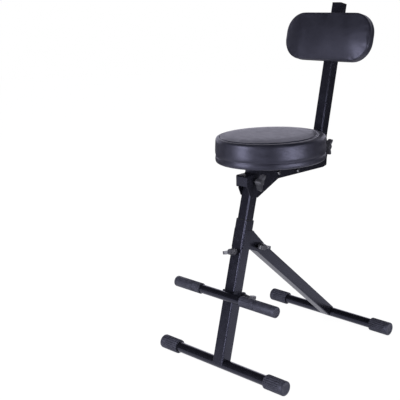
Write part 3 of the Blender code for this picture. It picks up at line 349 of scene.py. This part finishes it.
def camera():
    data = bpy.data.cameras.new("camera")
    data.lens = CAMERA_LENS
    data.shift_x = CAMERA_SHIFT
    made = bpy.data.objects.new("camera", data)
    bpy.context.scene.collection.objects.link(made)
    sin_a, cos_a = math.sin(CAMERA_AZIMUTH), math.cos(CAMERA_AZIMUTH)
    sin_e, cos_e = math.sin(CAMERA_ELEVATION), math.cos(CAMERA_ELEVATION)
    back = Vector((sin_a * cos_e, -cos_a * cos_e, sin_e))
    right = Vector((cos_a, sin_a, 0))
    up = back.cross(right)
    sin_r, cos_r = math.sin(CAMERA_ROLL), math.cos(CAMERA_ROLL)
    turned_right = cos_r * right + sin_r * up
    turned_up = cos_r * up - sin_r * right
    turn = Matrix((turned_right, turned_up, back)).transposed()
    made.matrix_world = Matrix.Translation(CAMERA_PLACE) @ turn.to_4x4()
    bpy.context.scene.camera = made


def soft_box(name, place, size, power):
    """A rectangular lamp that faces the stool and isn't seen itself."""
    data = bpy.data.lights.new(name, "AREA")
    data.shape = "RECTANGLE"
    data.size, data.size_y = size
    data.energy = power
    data.color = LAMP_COLOUR
    made = bpy.data.objects.new(name, data)
    bpy.context.scene.collection.objects.link(made)
    made.location = place
    made.rotation_mode = "QUATERNION"
    made.rotation_quaternion = (Vector(LAMP_AIM) - Vector(place)).to_track_quat("-Z", "Y")
    made.visible_camera = False
    made.visible_glossy = name != LAMP_NOT_IN_GLOSS


def ramp_between(tree, value, low, high, start, end):
    """A smooth step from one value to another."""
    made = tree.nodes.new("ShaderNodeMapRange")
    made.interpolation_type = "SMOOTHSTEP"
    for name, number in (("From Min", low), ("From Max", high), ("To Min", start), ("To Max", end)):
        made.inputs[name].default_value = number
    tree.links.new(value, made.inputs["Value"])
    return made.outputs["Result"]


def studio():
    """A pale studio: white backdrop behind, darker room in front, soft lamps and a floor of pale paper."""
    for name, (place, size, power) in LAMPS.items():
        soft_box(name, place, size, power)

    world = bpy.data.worlds.new("studio_world")
    bpy.context.scene.world = world
    world.use_nodes = True
    tree = world.node_tree
    tree.nodes.clear()
    out = tree.nodes.new("ShaderNodeOutputWorld")
    white = socket(tree, "ShaderNodeBackground", Color=(1, 1, 1, 1), Strength=1.0)
    ambient = socket(tree, "ShaderNodeBackground", Color=AMBIENT_COLOUR, Strength=AMBIENT_STRENGTH)
    room = socket(tree, "ShaderNodeBackground", Color=ROOM_COLOUR)
    place = tree.nodes.new("ShaderNodeTexCoord")
    split = tree.nodes.new("ShaderNodeSeparateXYZ")
    tree.links.new(place.outputs["Generated"], split.inputs["Vector"])
    away = tree.nodes.new("ShaderNodeVectorMath")
    away.operation = "DOT_PRODUCT"
    away.inputs[1].default_value = (-math.sin(CAMERA_AZIMUTH), math.cos(CAMERA_AZIMUTH), 0)
    tree.links.new(place.outputs["Generated"], away.inputs[0])
    behind = ramp_between(tree, away.outputs["Value"], *ROOM_BEHIND)
    low = ramp_between(tree, split.outputs["Z"], *ROOM_LOW)
    both = tree.nodes.new("ShaderNodeMath")
    both.operation = "MULTIPLY"
    tree.links.new(behind, both.inputs[0])
    tree.links.new(low, both.inputs[1])
    tree.links.new(both.outputs[0], room.inputs["Strength"])
    rays = tree.nodes.new("ShaderNodeLightPath")
    glossy = tree.nodes.new("ShaderNodeMixShader")
    tree.links.new(rays.outputs["Is Glossy Ray"], glossy.inputs["Fac"])
    tree.links.new(ambient.outputs[0], glossy.inputs[1])
    tree.links.new(room.outputs[0], glossy.inputs[2])
    pick = tree.nodes.new("ShaderNodeMixShader")
    tree.links.new(rays.outputs["Is Camera Ray"], pick.inputs["Fac"])
    tree.links.new(glossy.outputs[0], pick.inputs[1])
    tree.links.new(white.outputs[0], pick.inputs[2])
    tree.links.new(pick.outputs[0], out.inputs["Surface"])

    bm = bmesh.new()
    bmesh.ops.create_circle(bm, cap_ends=True, segments=FLOOR_STEPS, radius=FLOOR_RADIUS)
    mesh = bpy.data.meshes.new("floor")
    bm.to_mesh(mesh)
    bm.free()
    floor = bpy.data.objects.new("floor", mesh)
    bpy.context.scene.collection.objects.link(floor)
    mesh.materials.append(floor_material())
    bpy.context.scene.view_settings.view_transform = "Standard"


def floor_material():
    """Pale paper. The camera sees it white with a faint shadow; gloss sees a glowing pool of painted light
    close to the stool, a painted reflection of floor lit by the lamps.
    """
    made = bpy.data.materials.new("floor_paper")
    made.use_nodes = True
    tree = made.node_tree
    tree.nodes.clear()
    out = tree.nodes.new("ShaderNodeOutputMaterial")
    paper = socket(tree, "ShaderNodeBsdfDiffuse", Color=PAPER_COLOUR)
    white = socket(tree, "ShaderNodeEmission", Color=(1, 1, 1, 1), Strength=SHOWN_WHITE)
    shown = tree.nodes.new("ShaderNodeMixShader")
    shown.inputs["Fac"].default_value = SHOWN_SHARE
    tree.links.new(paper.outputs[0], shown.inputs[1])
    tree.links.new(white.outputs[0], shown.inputs[2])
    place = tree.nodes.new("ShaderNodeTexCoord")
    # Painted light: an emission pool on the floor near the stool that only gloss sees, a painted reflection of
    # lit floor
    painted_light = socket(tree, "ShaderNodeEmission", Color=PAINTED_LIGHT_COLOUR)
    painted_light_pools = []
    for centre, near, far in PAINTED_LIGHT_POOLS:
        reach = tree.nodes.new("ShaderNodeVectorMath")
        reach.operation = "DISTANCE"
        reach.inputs[1].default_value = centre
        tree.links.new(place.outputs["Object"], reach.inputs[0])
        painted_light_pools.append(ramp_between(tree, reach.outputs["Value"], near, far, PAINTED_LIGHT_NEAR, PAINTED_LIGHT_FAR))
    brighter = tree.nodes.new("ShaderNodeMath")
    brighter.operation = "MAXIMUM"
    tree.links.new(painted_light_pools[0], brighter.inputs[0])
    tree.links.new(painted_light_pools[1], brighter.inputs[1])
    tree.links.new(brighter.outputs[0], painted_light.inputs["Strength"])
    rays = tree.nodes.new("ShaderNodeLightPath")
    glossy = tree.nodes.new("ShaderNodeMixShader")
    tree.links.new(rays.outputs["Is Glossy Ray"], glossy.inputs["Fac"])
    tree.links.new(paper.outputs[0], glossy.inputs[1])
    tree.links.new(painted_light.outputs[0], glossy.inputs[2])
    pick = tree.nodes.new("ShaderNodeMixShader")
    tree.links.new(rays.outputs["Is Camera Ray"], pick.inputs["Fac"])
    tree.links.new(glossy.outputs[0], pick.inputs[1])
    tree.links.new(shown.outputs[0], pick.inputs[2])
    tree.links.new(pick.outputs[0], out.inputs["Surface"])
    return made


def dress(node, look, bevel):
    """Gives a CAD node its material and breaks its sharp edges."""
    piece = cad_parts[node]
    slots = piece.data.materials
    for index in range(len(slots)):
        slots[index] = look
    if not len(slots):
        slots.append(look)
    if bevel:
        weld = piece.modifiers.new("join", "WELD")
        weld.merge_threshold = EDGE_WELD
        edge = piece.modifiers.new("edge", "BEVEL")
        edge.width = bevel
        edge.segments = EDGE_SEGMENTS
        edge.limit_method = "ANGLE"
        edge.angle_limit = EDGE_ANGLE
        piece.modifiers.new("even", "WEIGHTED_NORMAL")


def loft(name, rings, look):
    """A closed skin over rings of points. A ring of one point is a pole."""
    bm = bmesh.new()
    made = [[bm.verts.new(point) for point in ring] for ring in rings]
    for low, high in zip(made, made[1:]):
        count = max(len(low), len(high))
        for i in range(count):
            j = (i + 1) % count
            corners = (low[i % len(low)], low[j % len(low)], high[j % len(high)], high[i % len(high)])
            bm.faces.new(dict.fromkeys(corners))
    bmesh.ops.recalc_face_normals(bm, faces=bm.faces)
    mesh = bpy.data.meshes.new(name)
    bm.to_mesh(mesh)
    bm.free()
    mesh.shade_smooth()
    mesh.materials.append(look)
    piece = bpy.data.objects.new(name, mesh)
    bpy.context.scene.collection.objects.link(piece)
    return piece


def coordinates(mesh):
    values = np.zeros(len(mesh.vertices) * 3)
    mesh.vertices.foreach_get("co", values)
    return values.reshape(-1, 3)


def swell(piece, pinned, cap):
    """Blows a cover up against its seams with a cloth simulation, and caps how far a point may move."""
    group = piece.vertex_groups.new(name="seams")
    group.add(pinned, 1.0, "REPLACE")
    cloth = piece.modifiers.new("swell", "CLOTH")
    cloth.settings.quality = SWELL_QUALITY
    cloth.settings.mass = SWELL_MASS
    cloth.settings.tension_stiffness = SWELL_STRETCH
    cloth.settings.compression_stiffness = SWELL_STRETCH
    cloth.settings.shear_stiffness = SWELL_SHEAR
    cloth.settings.bending_stiffness = SWELL_BENDING
    cloth.settings.use_pressure = True
    cloth.settings.uniform_pressure_force = SWELL_PRESSURE
    cloth.settings.vertex_group_mass = group.name
    cloth.settings.effector_weights.gravity = 0
    cloth.collision_settings.use_collision = False
    cloth.point_cache.frame_start = 1
    cloth.point_cache.frame_end = SWELL_FRAMES
    rest = coordinates(piece.data)
    scene = bpy.context.scene
    for step in range(1, SWELL_FRAMES + 1):
        scene.frame_set(step)
    shaped = piece.evaluated_get(bpy.context.evaluated_depsgraph_get()).data
    moved = coordinates(shaped) - rest
    scene.frame_set(1)
    piece.modifiers.remove(cloth)
    piece.vertex_groups.remove(group)
    reach = np.linalg.norm(moved, axis=1, keepdims=True)
    held = np.minimum(1.0, cap / np.maximum(reach, cap))
    piece.data.vertices.foreach_set("co", (rest + moved * held).ravel())
    piece.data.update()


def smooth_surface(piece):
    step = piece.modifiers.new("smooth", "SUBSURF")
    step.levels = 1
    step.render_levels = 1


def seat_cover(look):
    """The oval cushion: sewn top panel, rolled edge, boxed side with a crease above its bottom roll."""
    low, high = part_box("seat_cushion")
    centre = (low + high) / 2
    half = (high - low) / 2

    def ring(inset, height):
        turns = [2 * math.pi * step / SEAT_STEPS for step in range(SEAT_STEPS)]
        width, depth = half.x - inset, half.y - inset
        past = max(0.0, inset - SEAT_DRIFT_INSET) if height > SEAT_DRIFT_HEIGHT else 0.0
        drift = min(1.0, past / (SEAT_SEAM_INSET - SEAT_DRIFT_INSET))
        x, y = centre.x + drift * SEAT_PANEL_SHIFT[0], centre.y + drift * SEAT_PANEL_SHIFT[1]
        return [Vector((x + width * math.cos(t), y + depth * math.sin(t), low.z + height)) for t in turns]

    rings = [[Vector((centre.x, centre.y, low.z + SEAT_RECESS))], ring(SEAT_BOARD_INSET, SEAT_RECESS)]
    first = 1 + SEAT_STEPS
    rings += [ring(inset, height) for inset, height in SEAT_PROFILE]
    panel = rings[-1]
    top = Vector((centre.x + SEAT_PANEL_SHIFT[0], centre.y + SEAT_PANEL_SHIFT[1], panel[0].z))
    for share in SEAT_PANEL_SHARES:
        rise = Vector((0, 0, SEAT_PANEL_RISE * (1 - share ** 4)))
        rings.append([top.lerp(point, share) + rise for point in panel])
    rings.append([top + Vector((0, 0, SEAT_PANEL_RISE))])
    cover = loft("seat_cover", rings, look)
    pinned = list(range(first))
    for index in SEAT_PINNED:
        start = first + index * SEAT_STEPS
        pinned += range(start, start + SEAT_STEPS)
    swell(cover, pinned, SEAT_SWELL_CAP)
    wrinkle_side(cover, centre, low.z)
    smooth_surface(cover)
    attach(cover, "seat")
    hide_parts("seat_cushion")


def wrinkle_side(cover, centre, floor):
    """Long shallow ripples round the boxed side, stronger towards the sitter's left, fading at the seams."""
    for vertex in cover.data.vertices:
        height = vertex.co.z - floor
        out = Vector((vertex.co.x - centre.x, vertex.co.y - centre.y, 0))
        if out.length < WRINKLE_OUTSIDE or not 0 < height - WRINKLE_FROM < WRINKLE_BAND:
            continue
        fade = math.sin(math.pi * (height - WRINKLE_FROM) / WRINKLE_BAND) ** WRINKLE_FADE
        turn = math.atan2(out.y, out.x)
        side = WRINKLE_SIDE_MEAN + WRINKLE_SIDE_SPREAD * math.cos(turn + WRINKLE_SIDE_TURN)
        climb = height * WRINKLE_UPWARD + turn * WRINKLE_CLIMB
        place = Vector((math.cos(turn) * WRINKLE_ROUND, math.sin(turn) * WRINKLE_ROUND, climb))
        ripple = noise.noise(place) + WRINKLE_FINER_SHARE * noise.noise(place * WRINKLE_FINER)
        vertex.co += out.normalized() * (SEAT_WRINKLE * ripple * fade * side)


def pad_cover(look):
    """The back pad: rounded outline, narrow side, sewn front edge and crowned face."""
    up = Vector((0, math.sin(PAD_LEAN), math.cos(PAD_LEAN)))
    out = Vector((0, -math.cos(PAD_LEAN), math.sin(PAD_LEAN)))
    solid = [v.co.copy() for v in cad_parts["back_pad"].data.vertices]
    rises = [p.dot(up) for p in solid]
    depths = [p.dot(out) for p in solid]
    half_width = max(p.x for p in solid)
    half_height = (max(rises) - min(rises)) / 2
    middle = (max(rises) + min(rises)) / 2
    plane = min(depths)

    def outline(inset):
        """Points round the outline with its corners rounded, evenly stepped in each part."""
        radius = max(PAD_CORNER - inset, PAD_LEAST_CORNER)
        wide, tall = half_width - inset - radius, half_height - inset - radius
        points = []
        corners = ((wide, tall, 0), (-wide, tall, 1), (-wide, -tall, 2), (wide, -tall, 3))
        for number, (x, y, quarter) in enumerate(corners):
            for step in range(PAD_STEPS_CORNER + 1):
                turn = math.pi / 2 * (quarter + step / PAD_STEPS_CORNER)
                points.append(Vector((x + radius * math.cos(turn), y + radius * math.sin(turn))))
            following = corners[(number + 1) % 4]
            turn = math.pi / 2 * (quarter + 1)
            start = points[-1]
            end = Vector((following[0] + radius * math.cos(turn), following[1] + radius * math.sin(turn)))
            steps = PAD_STEPS_SIDE if number % 2 == 0 else PAD_STEPS_END
            points += [start.lerp(end, step / steps) for step in range(1, steps)]
        return points

    def place(point, depth):
        return Vector((point.x, 0, 0)) + up * (middle + point.y) + out * (plane + depth)

    board = outline(PAD_BOARD_INSET)
    rings = [[place(Vector((0, 0)), PAD_RECESS)], [place(p, PAD_RECESS) for p in board]]
    count = len(board)
    first = 1 + count
    rings += [[place(p, depth) for p in outline(inset)] for inset, depth in PAD_PROFILE]
    edge_inset, edge_depth = PAD_PROFILE[-1]
    face = outline(edge_inset)
    spine = [Vector((max(-PAD_SPINE_REACH, min(PAD_SPINE_REACH, p.x)), 0)) for p in face]
    for share in PAD_INWARD_SHARES:
        rise = 1 - (1 - share) ** 2
        ring = []
        for p, q in zip(face, spine):
            point = p.lerp(q, share)
            sweep = PAD_SWEEP * (1 - (point.x / half_width) ** 2) * rise
            ring.append(place(point, edge_depth + PAD_RISE * rise + sweep))
        rings.append(ring)
    cover = loft("back_pad_cover", rings, look)
    close_spine(cover)
    pinned = list(range(first))
    for index in PAD_PINNED:
        start = first + index * count
        pinned += range(start, start + count)
    swell(cover, pinned, PAD_SWELL_CAP)
    smooth_surface(cover)
    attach(cover, "backrest")
    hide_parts("back_pad")


def close_spine(cover):
    """Joins the doubled points along the middle of the pad's face."""
    bm = bmesh.new()
    bm.from_mesh(cover.data)
    bmesh.ops.remove_doubles(bm, verts=bm.verts, dist=PAD_SPINE_WELD)
    bmesh.ops.recalc_face_normals(bm, faces=bm.faces)
    bm.to_mesh(cover.data)
    bm.free()
    cover.data.shade_smooth()


def ribbed_sleeve(name, node, body, look, rows, bore, ribs, tail):
    """A rubber sleeve round an axis along x, on the node's place.

    The rows run from the mouth to the closed end as (distance from the mouth, radius, rib depth).
    """
    low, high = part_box(node)
    centre = (low + high) / 2
    side = 1 if centre.x > 0 else -1
    mouth, end = (low.x, high.x) if side > 0 else (high.x, low.x)
    steps = ribs * RIB_POINTS

    def ring(distance, radius, depth):
        points = []
        for step in range(steps):
            turn = 2 * math.pi * step / steps - math.pi / 2
            wave = 0.5 - 0.5 * math.cos(2 * math.pi * step / RIB_POINTS)
            cut = depth * min(1.0, max(0.0, RIB_STEEPNESS * wave - RIB_FLAT))
            reach = radius - cut
            points.append(Vector((
                mouth + side * distance, centre.y + reach * math.cos(turn), centre.z + reach * math.sin(turn))))
        return points

    length = abs(end - mouth)
    floor = length - tail
    rings = [[Vector((mouth + side * floor, centre.y, centre.z))], ring(floor, bore, 0), ring(0.0, bore, 0)]
    for distance, radius, depth in rows(length):
        if radius > 0:
            rings.append(ring(distance, radius, depth))
        else:
            rings.append([Vector((mouth + side * distance, centre.y, centre.z))])
    sleeve = loft(name, rings, look)
    sleeve.data.set_sharp_from_angle(angle=SLEEVE_CREASE)
    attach(sleeve, body)
    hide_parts(node)


def sleeve_rows(length, radius, depth, mouth, body, recess):
    """The rows of a sleeve: its mouth, its body back from the closed end, and that end's recess."""
    rows = [(distance, radius - step, depth * share) for distance, step, share in mouth]
    rows += [(length - distance, radius - step, depth * share) for distance, step, share in body]
    return rows + [(length - distance, reach, 0) for distance, reach in recess]


def cap_rows(length):
    """A foot cap: ribs from the mouth, a plain end with a rounded rim and a round recess."""
    return sleeve_rows(length, CAP_RADIUS, CAP_RIB_DEPTH, CAP_MOUTH, CAP_BODY, CAP_RECESS)


def grip_rows(length):
    """A footrest grip: finely ribbed by its mouth, a ring groove, a plain part and a recessed end."""
    groove = tuple((GRIP_GROOVE_FROM_END - past, step, share) for past, step, share in GRIP_GROOVE)
    return sleeve_rows(length, GRIP_RADIUS, GRIP_RIB_DEPTH, GRIP_MOUTH, groove + GRIP_RIM, GRIP_RECESS)


def sleeves(look):
    for end, body in (("front", "frame"), ("rear", "rear_leg")):
        for word in ("left", "right"):
            ribbed_sleeve(
                f"{end}_cap_{word}", f"{end}_foot_cap_{word}", body, look, cap_rows,
                CAP_BORE, CAP_RIBS, CAP_TAIL)
    for word in ("left", "right"):
        ribbed_sleeve(
            f"footrest_sleeve_{word}", f"footrest_grip_{word}", "footrest", look, grip_rows,
            GRIP_BORE, GRIP_RIBS, GRIP_TAIL)


def main():
    camera()
    studio()
    satin = powder_coat("satin_powder_coat", *SATIN)
    gloss = powder_coat("gloss_powder_coat", *GLOSS)
    bright = zinc("bright_zinc", *BRIGHT_ZINC)
    dark = zinc("dark_zinc", *DARK_ZINC)
    dull = plastic("moulded_plastic", *DULL_PLASTIC)
    grip = plastic("knob_plastic", *KNOB_PLASTIC)
    tyre = rubber()
    wood = plywood()
    cover = vinyl()
    seat_cover(cover)
    pad_cover(cover)
    sleeves(tyre)
    groups = (
        (satin, EDGE_SHEET, "height_nut leg_bracket footrest_clip seat_channel"),
        (satin, EDGE_SHEET, "support_plate_left support_plate_right"),
        (satin, EDGE_TUBE, "outer_tube rear_leg_tube inner_tube backrest_post"),
        (gloss, 0, "front_foot_bar rear_foot_bar footrest_bar"),
        (bright, EDGE_FINE, "leg_pivot_bolt footrest_bolt seat_spacer seat_lock_bolt height_screw"),
        (bright, EDGE_FINE, "seat_screw_1 seat_screw_2 seat_screw_3 seat_screw_4 backrest_lock_bolt"),
        (bright, EDGE_FINE, "pad_screw_lower pad_screw_upper seat_pivot_nut channel_tie_nut"),
        (bright, EDGE_FINE, "backrest_pivot_nut backrest_washer_left backrest_washer_right"),
        (dark, EDGE_TUBE, "seat_pivot_bolt channel_tie_bolt backrest_pivot_bolt"),
        (dull, EDGE_SHEET, "tube_bush post_plug backrest_spacer_left backrest_spacer_right"),
        (grip, EDGE_KNOB, "height_knob leg_knob footrest_knob seat_knob backrest_knob"),
        (wood, EDGE_SHEET, "seat_board back_board"),
    )
    for look, bevel, names in groups:
        for node in names.split():
            dress(node, look, bevel)


main()
